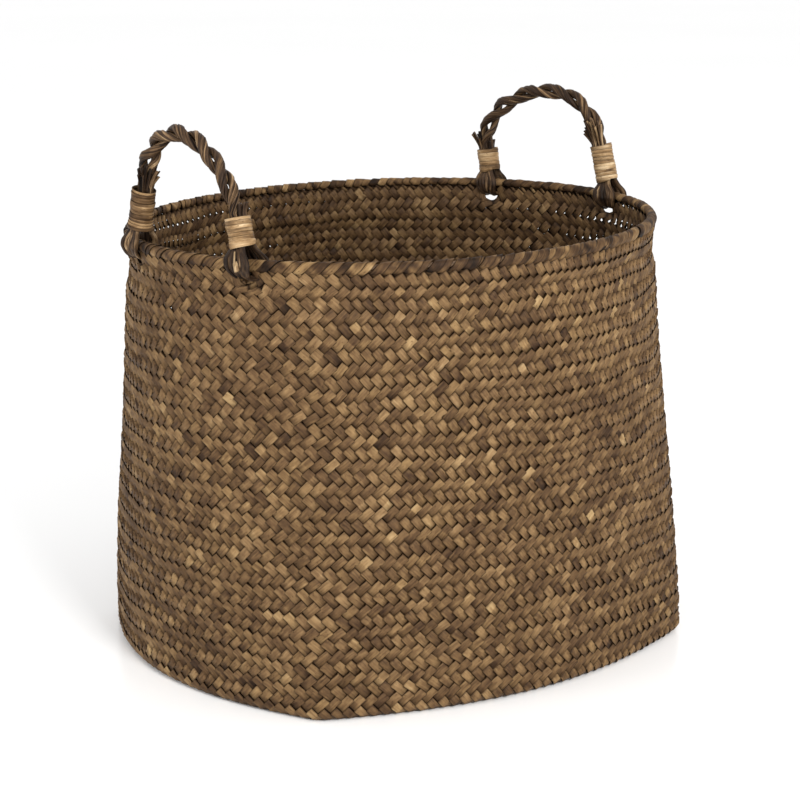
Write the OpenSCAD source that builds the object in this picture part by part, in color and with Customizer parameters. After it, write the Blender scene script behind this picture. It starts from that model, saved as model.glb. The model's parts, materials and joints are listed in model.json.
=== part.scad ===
// Plaited seagrass storage basket with two twisted rope handles.
// Millimetres, +Z up. The origin is on the floor under the middle of the base;
// X runs along the long axis of the oval rim, towards the right handle.
// The body is one continuous bias-plaited cloth: a flat base mat that turns up
// into the wall. A stiff hoop lies inside the folded hem at the rim. Each handle
// is a two-strand rope whose ends go round the hem through holes in the wall
// and are bound back on themselves, so it swings about the hem.

/* [Body] */
// Rim half length along X, at the middle of the hem
rim_half_x = 207; // [150:1:260]
// Rim half width along Y, at the middle of the hem
rim_half_y = 173.5; // [130:0.5:240]
// Height of the hem's top above the floor
rim_top = 308; // [200:1:420]
// Base half length, to the middle of a short side
base_half_x = 201; // [150:1:260]
// Base half width, to the middle of a long side
base_half_y = 176; // [130:1:240]
// Angle from the rim's long axis back to the base's
base_turn = 17; // [-45:1:45]
// How square the base is: 0 is an oval, 1 is a rectangle
base_square = 0.275; // [0:0.005:1]
// How far the wall bellies out at mid height
belly = 3; // [0:0.5:12]
// How far the wall draws in just under the hem
neck = 2.5; // [0:0.5:8]
// Thickness of the double-layer plaited cloth
cloth = 2.4; // [1.2:0.1:4]
// Outside radius of the turn from base to wall
turn_r = 6.5; // [4:0.5:15]

/* [Rim] */
// Outside radius of the rolled hem
hem_r = 3.4; // [2:0.1:6]
// Radius of the stiff hoop inside the hem
core_r = 2; // [1:0.1:4]

/* [Handles] */
// Angle of the right handle past +X, seen from above
right_turn = 0; // [-45:0.5:45]
// Angle of the left handle past -X, seen from above
left_turn = -5; // [-45:0.5:45]
// Distance between the right handle's legs where they meet the rim
right_gap = 113; // [80:1:160]
// Distance between the left handle's legs where they meet the rim
left_gap = 111; // [80:1:160]
// Inward lean of the right handle's front and rear legs in degrees
right_lean = [14, -10]; // [-20:0.5:25]
// Inward lean of the left handle's front and rear legs in degrees
left_lean = [16, 11]; // [-20:0.5:25]
// How far the right rope's arch is drawn on past its front and rear legs
right_pull = [66, 43]; // [10:1:120]
// How far the left rope's arch is drawn on past its front and rear legs
left_pull = [42, 67]; // [10:1:120]
// Radius of one of the rope's two strands
strand_r = 3.6; // [2:0.1:6]
// Distance from the rope's centreline to a strand's centreline
strand_off = 3.7; // [2.2:0.1:7]
// Full turns of twist between the two bindings
twist_turns = 3; // [1:0.5:6]

/* [Loops and bindings] */
// Mean radius of the loop round the hem
loop_r = 7.9; // [7:0.1:14]
// Half thickness of the loop
loop_half_t = 1.9; // [1:0.1:4]
// Half width of the loop
loop_half_w = 7; // [4:0.1:10]
// Radius of the bound shank above the loop
shank_r = 7; // [4:0.1:10]
// Distance from the hinge axis to the end of the shank inside the binding
shank_end = 24; // [18:1:40]
// From the hinge axis to the two ends of the right front binding
right_front_bind = [11, 40]; // [9:0.1:60]
// From the hinge axis to the two ends of the right rear binding
right_rear_bind = [10.4, 28.5]; // [9:0.1:60]
// From the hinge axis to the two ends of the left front binding
left_front_bind = [11, 31]; // [9:0.1:60]
// From the hinge axis to the two ends of the left rear binding
left_rear_bind = [11, 38.5]; // [9:0.1:60]
// Outside radius of the binding
bind_r = 8.4; // [6:0.1:12]
// Height of one wrapped turn of a binding
bind_pitch = 3; // [1.5:0.1:6]
// Length of the longer trimmed rope ends above a binding
tuft_len = 15; // [8:1:30]

/* [Hidden] */
around = 96;                       // points round the wall and the hem
hinge_z = rim_top - hem_r;         // height of the hinge axes
hem_low = hinge_z - hem_r;         // height of the hem's lower edge
wall_top = hinge_z - core_r;       // the hoop lies on the wall's top edge
fillet_steps = 4;
wall_steps = 9;
straight_on = 2;                   // a leg is straight this far past its binding
strand_start = shank_end + 0.3;
neck_r = 4.5;
neck_start = loop_r + 0.3;
shank_start = loop_r + 2.3;
strand_squeeze = 0.92;             // strands are squeezed inside a binding
bend_steps = 44;
hole_half_w = loop_half_w + 4;
hole_half_h = 6.2;
hole_drop = 10.4;                  // hinge axis to the middle of a hole
tuft_side = 4.8;                   // the tuft passes beside the two strands
tuft_r = 2.1;

// ---- shape of the body ----

function turned(p, a) = [p[0] * cos(a) - p[1] * sin(a),
                         p[0] * sin(a) + p[1] * cos(a)];

// Point of the base outline in direction a: an oval drawn out into four
// corners, which are sharp at the floor and soften with height z.
function base_point(a, z) =
    let (b = a + base_turn, p = 10 + 60 * exp(-z / 20),
         corner = pow(pow(abs(cos(b)), p) + pow(abs(sin(b)), p), -1 / p),
         k = 1 - base_square + base_square * corner)
    turned([base_half_x * k * cos(b), base_half_y * k * sin(b)], -base_turn);

// Point of the rim oval in direction a.
function oval_point(a) =
    [cos(a), sin(a)]
    / sqrt(pow(cos(a) / rim_half_x, 2) + pow(sin(a) / rim_half_y, 2));

// Direction of the outward normal of the rim oval at direction a.
function oval_normal(a) =
    atan2(sin(a) / pow(rim_half_y, 2), cos(a) / pow(rim_half_x, 2));

// Point of the cloth in direction a at height z, moved out by out. Below the
// top of the turn the outline stays the same, so base mat and wall meet. Above
// the hem's lower edge it is the rim oval itself, which the hem clasps.
function cloth_point(a, z, out) =
    let (h = max(z, turn_r), t = min(1, h / hem_low), s = t * t * (3 - 2 * t),
         full = belly * sin(180 * t)
                - neck * pow(sin(180 * clamp01((hem_low - h) / 38)), 2))
    base_point(a, h) * (1 - s) + oval_point(a) * s
    + (full + out) * [cos(a), sin(a)];

// Cross-section of the cloth, from the base edge up the outside: [inset, z].
function outer_section() = concat(
    [for (i = [0:fillet_steps]) let (f = 90 * i / fillet_steps)
        [turn_r * (1 - sin(f)), turn_r * (1 - cos(f))]],
    [for (i = [1:wall_steps]) [0, wall_z(i)]]);

// The same for the inside.
function inner_section() = concat(
    [for (i = [0:fillet_steps])
        let (f = 90 * i / fillet_steps, r = turn_r - cloth)
        [turn_r - r * sin(f), turn_r - r * cos(f)]],
    [for (i = [1:wall_steps]) [cloth, wall_z(i)]]);

// Heights are closer together near the rim, where the wall curves most.
function wall_z(i) =
    turn_r + (wall_top - turn_r) * (1 - pow(1 - i / wall_steps, 1.6));

// A closed ring of points round the wall for one [inset, z] of the section.
function wall_ring(p) = [for (i = [0:around - 1])
    concat(cloth_point(360 * i / around, p[1], cloth / 2 - p[0]), p[1])];

// ---- sweeping helpers ----

function flatten(rows) = [for (row = rows) for (p = row) p];

// Skin of equal point rings; closed joins the last ring back to the first.
module skin(rings, closed = false) {
    n = len(rings[0]);
    m = len(rings);
    sides = [for (j = [0:m - (closed ? 1 : 2)], i = [0:n - 1])
        let (k = (j + 1) % m, l = (i + 1) % n)
        each [[j * n + i, j * n + l, k * n + l],
              [j * n + i, k * n + l, k * n + i]]];
    ends = closed ? [] : [[for (i = [n - 1:-1:0]) i],
                          [for (i = [0:n - 1]) (m - 1) * n + i]];
    polyhedron(flatten(rings), concat(ends, sides), convexity = 10);
}

// A bar that follows the oval rim. section is a list of [out, up] points round
// the hinge height, clockwise when seen with out to the right.
module oval_bar(section) {
    skin([for (i = [0:around - 1])
        let (a = 360 * i / around, mid = oval_point(a), n = oval_normal(a))
        [for (p = section) concat(mid + p[0] * [cos(n), sin(n)],
                                  hinge_z + p[1])]], closed = true);
}

// Points on an arc of radius r from angle f0 to f1, clockwise from the top.
function arc(r, f0, f1, steps) =
    [for (i = [0:steps]) let (f = f0 + (f1 - f0) * i / steps)
        r * [sin(f), cos(f)]];

// ---- shape of a handle, in its own plane ----
// u runs along the hinge axis, v up from it. A leg is [side, gap, lean, pull,
// binding ends], where side +1 stands at +u and lean is towards the other leg.

function right_front() =
    [-1, right_gap, right_lean[0], right_pull[0], right_front_bind];
function right_rear() =
    [1, right_gap, right_lean[1], right_pull[1], right_rear_bind];
function left_front() =
    [1, left_gap, left_lean[0], left_pull[0], left_front_bind];
function left_rear() =
    [-1, left_gap, left_lean[1], left_pull[1], left_rear_bind];

function leg_top(leg) = leg[4][1] + straight_on;

// Point of a leg at distance s from the hinge axis.
function leg_point(leg, s) =
    [leg[0] * (leg[1] / 2 - s * sin(leg[2])), s * cos(leg[2])];

// Point at parameter t, 0 to 1, of the rope's arch from one leg to the other.
function bend(from, to, t) =
    pow(1 - t, 3) * leg_point(from, leg_top(from))
    + 3 * pow(1 - t, 2) * t * leg_point(from, leg_top(from) + from[3])
    + 3 * (1 - t) * t * t * leg_point(to, leg_top(to) + to[3])
    + pow(t, 3) * leg_point(to, leg_top(to));

// Centreline of the straight part of the rope on a leg.
function leg_line(leg) = [for (i = [0:3])
    leg_point(leg, strand_start + (leg_top(leg) - strand_start) * i / 4)];

// Centreline of the rope between the two shanks.
function rope_line(from, to) =
    let (start = leg_line(from), end = leg_line(to))
    concat(start, [for (i = [0:bend_steps]) bend(from, to, i / bend_steps)],
           [for (i = [3:-1:0]) end[i]]);

// Running length of a line up to each of its points.
function running(line) = [for (i = 0, s = 0; i < len(line);
        s = s + (i + 1 < len(line) ? norm(line[i + 1] - line[i]) : 0),
        i = i + 1) s];

// Unit direction of a line at point i.
function line_dir(line, i) =
    let (d = line[min(len(line) - 1, i + 1)] - line[max(0, i - 1)])
    d / norm(d);

function clamp01(x) = max(0, min(1, x));

// One strand: a round bar wound round the centreline, starting at angle phase.
// It is thinner inside the bindings, where it is squeezed.
module strand(from, to, phase, sides = 10) {
    line = rope_line(from, to);
    run = running(line);
    start = leg_top(from) - strand_start;
    twisted = run[len(run) - 1] - start - leg_top(to) + strand_start;
    skin([for (i = [0:len(line) - 1])
        let (d = line_dir(line, i), s = run[i] - start,
             full = strand_squeeze + (1 - strand_squeeze)
                    * clamp01(min(s, twisted - s) / 12 + 0.1),
             a = phase - 360 * twist_turns * clamp01(s / twisted),
             c = strand_off * full * [cos(a), sin(a)])
        [for (k = [0:sides - 1])
            let (f = 360 * k / sides,
                 q = c + strand_r * full * [cos(f), sin(f)])
            [line[i][0] - q[0] * d[1], q[1], line[i][1] + q[0] * d[0]]]]);
}

// Puts a child drawn up from the foot of a leg in place.
module on_leg(leg, lean) {
    translate([leg[0] * leg[1] / 2, 0, 0])
        rotate([0, -leg[0] * lean, 0])
            children();
}

// Ring round the hem, and the bound shank that rises from it on a neck, which
// keeps the shank's lower edge clear of the hem when the handle swings.
module leg_loop(leg) {
    section = [for (f = [15:30:345])
        [loop_r + loop_half_t * cos(f), loop_half_w * sin(f)]];
    on_leg(leg, 0)
        rotate([0, 90, 0])
            rotate_extrude($fn = 48)
                polygon(section);
    on_leg(leg, leg[2]) {
        translate([0, 0, neck_start])
            cylinder(r = neck_r, h = shank_start + 1 - neck_start, $fn = 36);
        translate([0, 0, shank_start])
            cylinder(r = shank_r, h = shank_end - shank_start, $fn = 36);
    }
}

// Flat strip wrapped round the shank: a tube with one ridge for each turn.
module leg_binding(leg) {
    low = leg[4][0];
    high = leg[4][1];
    bore = shank_r + 0.05;
    dip = 0.35;
    turns = round((high - low) / bind_pitch);
    pitch = (high - low) / turns;
    ridges = [for (i = [0:turns - 1]) each [
        [bind_r - dip, low + pitch * i],
        [bind_r, low + pitch * (i + 0.25)],
        [bind_r, low + pitch * (i + 0.75)]]];
    on_leg(leg, leg[2])
        rotate_extrude($fn = 48)
            polygon(concat([[bore, low]], ridges,
                [[bind_r - dip, high], [bore, high]]));
}

// Trimmed rope ends that splay out above a binding; facing +1 is inside the
// arch and -1 is outside it.
module leg_tuft(leg, facing, length) {
    splay = 40;
    rise = leg[4][1] - shank_end + 0.7;
    on_leg(leg, leg[2])
        translate([-leg[0] * facing * tuft_side, 0, shank_end + 0.3]) {
            cylinder(r = tuft_r, h = rise + 0.2, $fn = 16);
            translate([0, 0, rise])
                rotate([0, -leg[0] * facing * splay, 0])
                    cylinder(r1 = tuft_r, r2 = tuft_r * 1.4, h = length,
                             $fn = 16);
        }
}

// ---- handles on the basket ----

function foot_gap(turn, a) = norm(oval_point(turn + a) - oval_point(turn - a));

// Angle either side of turn at which the feet stand gap apart.
function foot_angle(turn, gap, low = 5, high = 40, n = 30) =
    let (mid = (low + high) / 2)
    n == 0 ? mid :
    foot_gap(turn, mid) > gap ? foot_angle(turn, gap, low, mid, n - 1)
                              : foot_angle(turn, gap, mid, high, n - 1);

// Places a handle drawn in its own plane on the rim, turn degrees past +X.
// The hinge axis is the chord through the two feet; +u points to the foot
// further round.
module on_rim(turn, gap) {
    a = foot_angle(turn, gap);
    far = oval_point(turn + a);
    near = oval_point(turn - a);
    mid = (far + near) / 2;
    translate([mid[0], mid[1], hinge_z])
        rotate([0, 0, atan2(far[1] - near[1], far[0] - near[0])])
            children();
}

module on_right() { on_rim(right_turn, right_gap) children(); }
module on_left() { on_rim(180 + left_turn, left_gap) children(); }

// Pair of oval holes in the wall under the hem, for one handle's loops.
module loop_holes(gap) {
    for (side = [-1, 1])
        translate([side * gap / 2, 0, -hole_drop])
            rotate([90, 0, 0])
                scale([hole_half_w / hole_half_h, 1, 1])
                    cylinder(r = hole_half_h, h = 40, center = true,
                             $fn = 32);
}

// ---- the nodes ----

straw = [0.52, 0.41, 0.30];
dark_straw = [0.36, 0.28, 0.21];
pale_straw = [0.72, 0.60, 0.44];

module base_mat() {
    color(straw)
        linear_extrude(cloth)
            polygon([for (i = [0:around - 1])
                cloth_point(360 * i / around, 0, cloth / 2 - turn_r)]);
}

module wall() {
    inner = inner_section();
    section = concat(outer_section(),
                     [for (i = [len(inner) - 1:-1:0]) inner[i]]);
    color(straw)
        difference() {
            skin([for (p = section) wall_ring(p)], closed = true);
            on_left() loop_holes(left_gap);
            on_right() loop_holes(right_gap);
        }
}

module rim_core() {
    color(dark_straw)
        oval_bar(arc(core_r, -157.5, 157.5, 7));
}

// The strip ends fold over the hoop, and their two lips clasp the wall's edge.
module rim_hem() {
    lip = cloth / 2 + 0.15;
    bore = core_r + 0.25;
    outer_end = 180 - asin(lip / hem_r);
    inner_end = 180 - asin(lip / bore);
    color(straw)
        oval_bar(concat(arc(hem_r, -outer_end, outer_end, 12),
                        arc(bore, inner_end, -inner_end, 8)));
}

// Each rope runs from its leg at +u to its leg at -u.
module left_strand(phase) {
    color(dark_straw) on_left() strand(left_front(), left_rear(), phase);
}
module right_strand(phase) {
    color(dark_straw) on_right() strand(right_rear(), right_front(), phase);
}
module left_strand_a() { left_strand(90); }
module left_strand_b() { left_strand(270); }
module right_strand_a() { right_strand(90); }
module right_strand_b() { right_strand(270); }

module left_front_loop() { color(dark_straw) on_left() leg_loop(left_front()); }
module left_rear_loop() { color(dark_straw) on_left() leg_loop(left_rear()); }
module right_front_loop() { color(dark_straw) on_right() leg_loop(right_front()); }
module right_rear_loop() { color(dark_straw) on_right() leg_loop(right_rear()); }

module left_front_binding() { color(pale_straw) on_left() leg_binding(left_front()); }
module left_rear_binding() { color(pale_straw) on_left() leg_binding(left_rear()); }
module right_front_binding() { color(pale_straw) on_right() leg_binding(right_front()); }
module right_rear_binding() { color(pale_straw) on_right() leg_binding(right_rear()); }

module left_front_tuft() {
    color(dark_straw) on_left() leg_tuft(left_front(), -1, tuft_len * 0.4);
}
module left_rear_tuft() {
    color(dark_straw) on_left() leg_tuft(left_rear(), 1, tuft_len);
}
module right_front_tuft() {
    color(dark_straw) on_right() leg_tuft(right_front(), 1, tuft_len);
}
module right_rear_tuft() {
    color(dark_straw) on_right() leg_tuft(right_rear(), -1, tuft_len * 0.8);
}

base_mat();
wall();
rim_core();
rim_hem();
left_strand_a();
left_strand_b();
left_front_loop();
left_front_binding();
left_front_tuft();
left_rear_loop();
left_rear_binding();
left_rear_tuft();
right_strand_a();
right_strand_b();
right_front_loop();
right_front_binding();
right_front_tuft();
right_rear_loop();
right_rear_binding();
right_rear_tuft();
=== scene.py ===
"""Plaited seagrass storage basket with two twisted rope handles.

The basket is built strand by strand. 152 strips cross the base on the
diagonal and climb the wall at both ends, over two and under two. Their
ends fold over the hoop as the hem. Each handle is a two-strand rope of
stems whose ends loop round the hem and are bound back on themselves.
Shapes are worked out in millimetres and written to meshes in metres.
"""

import json
import math

import bpy
import numpy as np
from mathutils import Matrix, Vector


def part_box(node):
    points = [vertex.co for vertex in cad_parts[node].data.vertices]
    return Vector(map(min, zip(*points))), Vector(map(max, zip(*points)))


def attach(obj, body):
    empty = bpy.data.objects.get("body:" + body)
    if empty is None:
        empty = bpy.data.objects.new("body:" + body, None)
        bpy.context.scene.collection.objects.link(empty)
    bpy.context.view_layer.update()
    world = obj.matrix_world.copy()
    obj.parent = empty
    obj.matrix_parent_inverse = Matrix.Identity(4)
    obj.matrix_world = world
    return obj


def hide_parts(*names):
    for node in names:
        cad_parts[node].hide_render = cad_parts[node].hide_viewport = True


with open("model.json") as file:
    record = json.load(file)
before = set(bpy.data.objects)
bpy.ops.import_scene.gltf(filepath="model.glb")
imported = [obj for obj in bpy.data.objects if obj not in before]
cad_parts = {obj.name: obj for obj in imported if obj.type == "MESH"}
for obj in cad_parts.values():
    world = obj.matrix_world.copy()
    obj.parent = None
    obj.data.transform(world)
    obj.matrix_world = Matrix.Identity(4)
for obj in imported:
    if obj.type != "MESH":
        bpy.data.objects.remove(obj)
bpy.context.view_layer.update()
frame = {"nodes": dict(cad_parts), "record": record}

MM = 0.001
RNG = np.random.default_rng(29)

# ---- driving sizes of the body, in millimetres, as in the CAD ----

RIM_HALF = np.array([207.0, 173.5])   # oval rim, at the middle of the hem
BASE_HALF = np.array([201.0, 176.0])  # middles of the base's sides
BASE_TURN = math.radians(17)          # the base's long axis lies this far back
BASE_SQUARE = 0.275                   # how far its corners are drawn out
BELLY = 3.0                           # swelling at mid height
NECK = 2.5                            # pull-in just under the hem
CLOTH = 2.4                           # thickness through the plait
TURN_R = 6.5                          # outer radius of the turn at the floor
HEM_R = 3.4                           # radius of the rolled hem
RIM_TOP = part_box("rim_hem")[1][2] / MM
HINGE_Z = RIM_TOP - HEM_R
HEM_LOW = HINGE_Z - HEM_R

# ---- the plait ----

SIDE_STRIPS = (40, 36)       # strips each way along a long and a short side
AROUND = 2 * sum(SIDE_STRIPS)
HALF_A, HALF_B = SIDE_STRIPS[0] / 2, SIDE_STRIPS[1] / 2
LIFT = 1.15                  # mm a strip's middle stands off the cloth's middle
STRIP_T = 0.60               # strip thickness, along its crowned middle
FILL = 1.15                  # strip width as a share of the pitch
SHINGLE = 0.085              # roll that lays each strip over its neighbour
BEND_AT = 0.36               # share of a crossing that stays flat
BOW = 1.12                   # a float's middle, as a share of the lift
DIP = 0.75                   # the same where it starts to go under
PROUD = 2.0                  # and at a float's upper end, on the wall
GROUPS = 26                  # pieces that the strips are gathered in


def unit(v):
    """Vectors scaled to length 1."""
    return v / np.maximum(np.linalg.norm(v, axis=-1, keepdims=True), 1e-9)


def run_along(points):
    """Distance from the first point to each, along the line through them."""
    steps = np.linalg.norm(np.diff(points, axis=0), axis=1)
    return np.concatenate([[0], np.cumsum(steps)])


def eased(f):
    """0 to 1 with a soft start and stop."""
    return f * f * (3 - 2 * f)


def turned(x, y, angle):
    """Point x, y turned about the origin."""
    c, s = math.cos(angle), math.sin(angle)
    return x * c - y * s, x * s + y * c


# ---- shape of the body ----

def base_point(a, z):
    """Base outline in direction a: an oval drawn out into four corners.

    The corners are sharp at the floor and round off higher up, with z.
    """
    b = a + BASE_TURN
    p = 10 + 60 * np.exp(-z / 20)
    corner = (np.abs(np.cos(b)) ** p + np.abs(np.sin(b)) ** p) ** (-1 / p)
    k = 1 - BASE_SQUARE + BASE_SQUARE * corner
    x, y = turned(BASE_HALF[0] * k * np.cos(b), BASE_HALF[1] * k * np.sin(b),
                  -BASE_TURN)
    return np.stack([x, y], -1)


def oval_point(a):
    """Rim oval in direction a."""
    ray = np.stack([np.cos(a), np.sin(a)], -1)
    return ray / np.linalg.norm(ray / RIM_HALF, axis=-1, keepdims=True)


def cloth_point(a, z, out):
    """Point of the cloth in direction a at height z, moved out by out."""
    h = np.maximum(z, TURN_R)
    t = np.minimum(1, h / HEM_LOW)
    s = eased(t)[..., None]
    near_rim = np.clip((HEM_LOW - h) / 38, 0, 1)
    full = BELLY * np.sin(np.pi * t) - NECK * np.sin(np.pi * near_rim) ** 2
    ray = np.stack([np.cos(a), np.sin(a)], -1)
    return (base_point(a, h) * (1 - s) + oval_point(a) * s
            + (full + out)[..., None] * ray)


# Perimeter coordinate s counts strips from one corner of the base round to
# itself. At every height each quarter between corners is shared out evenly.
CORNER = math.radians(180 + 45) - BASE_TURN
LEVELS = np.linspace(TURN_R, HEM_LOW, 34)
S_STEP = 0.5


def angle_table():
    """Direction angle for every s, one row per level."""
    rows = []
    for z in LEVELS:
        row = [CORNER]
        for quarter in range(4):
            a = CORNER + math.pi / 2 * (quarter + np.linspace(0, 1, 361))
            run = run_along(cloth_point(a, np.full_like(a, z),
                                        np.zeros_like(a)))
            run = run / run[-1]
            count = int(SIDE_STRIPS[quarter % 2] / S_STEP)
            share = np.arange(1, count + 1) / count
            row.extend(np.interp(share, run, a))
        rows.append(row)
    return np.array(rows)


ANGLES = angle_table()


def angle_at(s, z):
    """Direction angle of perimeter coordinate s at height z."""
    lap = np.floor(s / AROUND)
    col = (s - lap * AROUND) / S_STEP
    i = np.minimum(col.astype(int), ANGLES.shape[1] - 2)
    f = col - i
    level = np.clip((z - LEVELS[0]) / (LEVELS[1] - LEVELS[0]), 0,
                    len(LEVELS) - 1.001)
    j = level.astype(int)
    g = level - j
    low = ANGLES[j, i] * (1 - f) + ANGLES[j, i + 1] * f
    high = ANGLES[j + 1, i] * (1 - f) + ANGLES[j + 1, i + 1] * f
    return low * (1 - g) + high * g + 2 * np.pi * lap


def perimeter(z):
    """Length of the cloth's outline at height z."""
    a = np.linspace(0, 2 * np.pi, 1441)
    return run_along(cloth_point(a, np.full_like(a, z), np.zeros_like(a)))[-1]


UNIT = perimeter(HINGE_Z / 2) / AROUND      # mm of wall for one strip
PITCH = UNIT / math.sqrt(2)                 # across a strip
MID_R = TURN_R - CLOTH / 2                  # turn radius of the middle of the cloth
Y_TURN = MID_R * math.pi / 2 / UNIT         # where the turn ends
Y_TOP = Y_TURN + (HINGE_Z - TURN_R - 1.0) / UNIT
ROWS = int(2 * Y_TOP)                       # crossings up the wall


def waves(count, around, up, size):
    """Random smooth waves over the wall: (s rate, y rate, phase, height)."""
    return [(2 * np.pi * RNG.integers(-around, around + 1) / AROUND,
             RNG.uniform(0.3, 1) * up, RNG.uniform(0, 2 * np.pi),
             size / math.sqrt(count)) for _ in range(count)]


def wave_sum(parts, s, y):
    """Height of the waves at s, y."""
    return sum(h * np.sin(ks * s + ky * y + f) for ks, ky, f, h in parts)


SWAY_S = waves(9, 16, 0.7, 0.13)      # strips are not laid quite evenly
SWAY_Y = waves(9, 16, 0.7, 0.16)
SWELL = waves(7, 7, 0.30, 0.75)       # mm the wall wanders in and out


def wall_point(s, y):
    """Middle of the cloth at s strips round and y strips up the wall."""
    calm = np.clip(np.minimum(y, Y_TOP - y) / 4, 0, 1)
    s = s + calm * wave_sum(SWAY_S, s, y)
    y = y + calm * wave_sum(SWAY_Y, s, y)
    f = np.clip(y / Y_TURN, 0, 1) * np.pi / 2
    z = TURN_R - MID_R * np.cos(f) + np.maximum(0, y - Y_TURN) * UNIT
    out = -MID_R * (1 - np.sin(f)) + calm * wave_sum(SWELL, s, y)
    xy = cloth_point(angle_at(s, z), z, out)
    return np.concatenate([xy, z[..., None]], -1)


def edge_point(s):
    """Edge of the flat base at perimeter coordinate s."""
    return wall_point(s, np.zeros_like(s))


def mat_point(a, b):
    """Middle of the flat base at plait coordinates a, b, between its edges."""
    al, be = (a / HALF_A + 1) / 2, (b / HALF_B + 1) / 2
    long, short = SIDE_STRIPS
    bottom = edge_point(al * long)
    right = edge_point(long + be * short)
    top = edge_point(long + short + (1 - al) * long)
    left = edge_point(2 * long + short + (1 - be) * short)
    c = [edge_point(np.array(float(s))) for s in
         (0, long, long + short, 2 * long + short)]
    al, be = al[..., None], be[..., None]
    corners = ((1 - al) * (1 - be) * c[0] + al * (1 - be) * c[1]
               + al * be * c[2] + (1 - al) * be * c[3])
    return ((1 - be) * bottom + be * top + (1 - al) * left + al * right
            - corners)


# ---- meshes ----

class Skin:
    """Vertices, faces and per-vertex values of one piece."""

    def __init__(self):
        self.points, self.quads, self.grain, self.tint = [], [], [], []
        self.count = 0

    def loft(self, rings, grain, tint):
        """Closed rings joined end to end, with both ends capped.

        rings is (n, k, 3); grain (n, k, 3) is mm along, mm across and the
        strip's own number; tint (n, k, 3) is tone, greyness and darkening: painted
        shade, and random mottle on the bindings.
        """
        n, k = rings.shape[:2]
        i, j = np.meshgrid(np.arange(n - 1), np.arange(k), indexing="ij")
        l = (j + 1) % k
        body = np.stack([i * k + j, i * k + l, (i + 1) * k + l,
                         (i + 1) * k + j], -1).reshape(-1, 4)
        m = np.arange(k // 2 - 1)
        cap = np.stack([m, k - 1 - m, k - 2 - m, m + 1], -1)
        quads = np.concatenate([body, cap, cap[:, ::-1] + (n - 1) * k])
        self.quads.append(quads + self.count)
        self.points.append(rings.reshape(-1, 3))
        self.grain.append(grain.reshape(-1, 3))
        self.tint.append(tint.reshape(-1, 3))
        self.count += n * k

    def piece(self, name, material, body, nodes, slot):
        """Makes the object, hands it to its body and hides its CAD nodes."""
        points = np.concatenate(self.points) * MM
        quads = np.concatenate(self.quads)
        mesh = bpy.data.meshes.new(name)
        mesh.vertices.add(len(points))
        mesh.vertices.foreach_set("co", points.ravel().astype(np.float32))
        mesh.loops.add(quads.size)
        mesh.loops.foreach_set("vertex_index", quads.ravel().astype(np.int32))
        mesh.polygons.add(len(quads))
        mesh.polygons.foreach_set("loop_start",
                                  np.arange(0, quads.size, 4, dtype=np.int32))
        mesh.polygons.foreach_set("use_smooth", np.ones(len(quads), bool))
        mesh.update(calc_edges=True)
        for label, rows in (("grain", self.grain), ("tint", self.tint)):
            layer = mesh.attributes.new(label, "FLOAT_VECTOR", "POINT")
            values = np.concatenate(rows).astype(np.float32)
            layer.data.foreach_set("vector", values.ravel())
        mesh.validate()
        mesh.materials.append(material)
        obj = bpy.data.objects.new(name, mesh)
        bpy.context.scene.collection.objects.link(obj)
        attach(obj, body)
        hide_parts(*nodes)
        return obj


# Cross-section of a strip: (across, up) as shares of half width and height.
STRIP_SECTION = np.array([(-1, 0), (-0.82, 0.86), (0, 1), (0.82, 0.86),
                          (1, 0), (0.82, -0.86), (0, -1), (-0.82, -0.86)])
# What each of those corners adds to the strip's painted shade, darkest at the
# edges, and as a painted highlight to its tone.
PAINTED_EDGE_SHADE = np.array([1.0, 0.22, 0, 0.22, 1.0, 0.3, 0.3, 0.3])
PAINTED_EDGE_HIGHLIGHT = np.array([0, 0.08, 0, 0.08, 0, 0, 0, 0])


def edged(tint):
    """The tint of every vertex of a strip: painted shade at its edges, inside a
    line of painted highlight.
    """
    whole = np.repeat(tint[:, None], len(PAINTED_EDGE_SHADE), axis=1)
    whole[..., 0] += PAINTED_EDGE_HIGHLIGHT
    whole[..., 2] = np.minimum(1, whole[..., 2] + PAINTED_EDGE_SHADE)
    return whole


def tint_rows(tone, grey, painted_shade_and_mottle):
    """Tone, greyness and darkening side by side, the first two kept in 0 to 1; the
    darkening is painted shade, and random mottle on the bindings.
    """
    return np.stack(np.broadcast_arrays(np.clip(tone, 0, 1),
                                        np.clip(grey, 0, 1), painted_shade_and_mottle), -1)


def swept(path, x, side, y, up):
    """A ring round every point of a path: x along its side and y along up."""
    return (path[:, None] + x[..., None] * side[:, None]
            + y[..., None] * up[:, None])


def ribbon(skin, mid, side, up, half_w, half_t, along, seed, tint):
    """Lofts a crowned flat strip along mid, with side and up as its frame."""
    across = STRIP_SECTION[:, 0] * half_w[:, None]
    rise = np.broadcast_to(STRIP_SECTION[:, 1] * half_t, across.shape)
    grain = np.stack([np.broadcast_to(along[:, None], across.shape),
                      across + 0.3 * rise, np.full(across.shape, seed)], -1)
    skin.loft(swept(mid, across, side, rise, up), grain, edged(tint))


# ---- the strips ----

HOLE_DROP = 8.2              # a loop's hole in the wall, below the hinge axis
HOLE_R = 7.1                 # how far strips are pushed aside there
HOLE_SQUEEZE = 0.85          # the least share of its width a pushed strip keeps
TOP_PLAY = 1.5               # mm a pushed strip may run up past the wall's top


def foot_points():
    """Where each handle's two feet meet the rim, from the record's hinges."""
    feet = []
    for joint in frame["record"]["behaviour"]["joints"]:
        pos = np.array(joint["pos_m"][:2]) / MM
        axis = np.array(joint["axis"][:2])
        # the feet stand where the chord along the axis meets the rim oval
        way, at = axis / RIM_HALF, pos / RIM_HALF
        qa, qb, qc = way @ way, at @ way, at @ at - 1
        for sign in (-1, 1):
            root = (-qb + sign * math.sqrt(qb * qb - qa * qc)) / qa
            feet.append(pos + root * axis)
    return feet


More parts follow.
